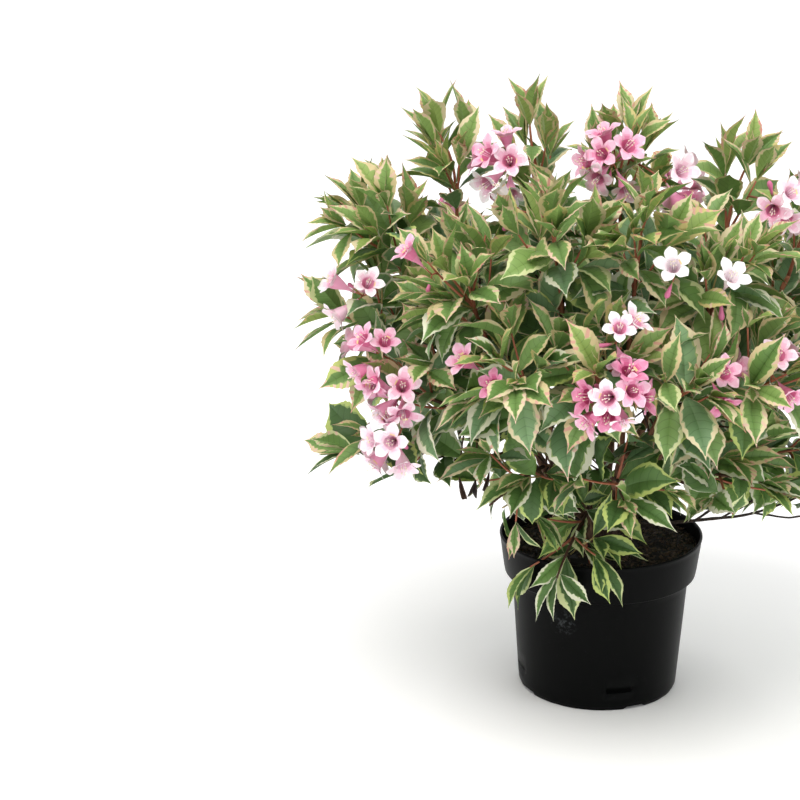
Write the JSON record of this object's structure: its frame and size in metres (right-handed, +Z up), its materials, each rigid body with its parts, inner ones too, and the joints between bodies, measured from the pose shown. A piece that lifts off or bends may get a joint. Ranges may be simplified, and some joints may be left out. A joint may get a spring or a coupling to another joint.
{
  "type": "potted weigela shrub",
  "caption": "Variegated weigela shrub in bloom with cream-edged leaves and pink funnel flowers, rooted in compost in a round black nursery pot that stands on its flat underside.",
  "frame": {"origin": "middle of the pot's flat underside, on the floor", "axes": "+Z up along the pot's axis; -Y is the front that the picture shows, +X to its right"},
  "size_m": [0.6601, 0.5924, 0.68],
  "materials": {
    "black_plastic": "moulded matt plastic with light scuffs",
    "compost": "dark fibrous compost with bark chips",
    "old_bark": "rough grey-brown bark",
    "dead_bark": "dry dark bark",
    "young_bark": "smooth reddish-brown bark",
    "leaves": "soft satin leaves, green with cream edges, and pink blossom"
  },
  "bodies": {
    "root": {"pot": "black_plastic", "soil": "compost", "stool": "old_bark", "dead_twig": "dead_bark", "bough_spire_1": "young_bark", "bough_spire_2": "young_bark", "bough_spire_3": "young_bark", "bough_spire_4": "young_bark", "bough_spire_5": "young_bark", "bough_spire_6": "young_bark", "bough_shoulder_1": "young_bark", "bough_shoulder_2": "young_bark", "bough_shoulder_3": "young_bark", "bough_shoulder_4": "young_bark", "bough_shoulder_5": "young_bark", "bough_belt_1": "young_bark", "bough_belt_2": "young_bark", "bough_belt_3": "young_bark", "bough_belt_4": "young_bark", "bough_belt_5": "young_bark", "bough_belt_6": "young_bark", "bough_belt_7": "young_bark", "bough_belt_8": "young_bark", "bough_belt_9": "young_bark", "bough_belt_10": "young_bark", "bough_belt_11": "young_bark", "bough_skirt_1": "young_bark", "bough_skirt_2": "young_bark", "bough_skirt_3": "young_bark", "bough_skirt_4": "young_bark", "bough_skirt_5": "young_bark", "bough_skirt_6": "young_bark", "mass_spire_1": "leaves", "mass_spire_2": "leaves", "mass_spire_3": "leaves", "mass_spire_4": "leaves", "mass_spire_5": "leaves", "mass_spire_6": "leaves", "mass_shoulder_1": "leaves", "mass_shoulder_2": "leaves", "mass_shoulder_3": "leaves", "mass_shoulder_4": "leaves", "mass_shoulder_5": "leaves", "mass_belt_1": "leaves", "mass_belt_2": "leaves", "mass_belt_3": "leaves", "mass_belt_4": "leaves", "mass_belt_5": "leaves", "mass_belt_6": "leaves", "mass_belt_7": "leaves", "mass_belt_8": "leaves", "mass_belt_9": "leaves", "mass_belt_10": "leaves", "mass_belt_11": "leaves", "mass_skirt_1": "leaves", "mass_skirt_2": "leaves", "mass_skirt_3": "leaves", "mass_skirt_4": "leaves", "mass_skirt_5": "leaves", "mass_skirt_6": "leaves"}
  },
  "joints": []
}
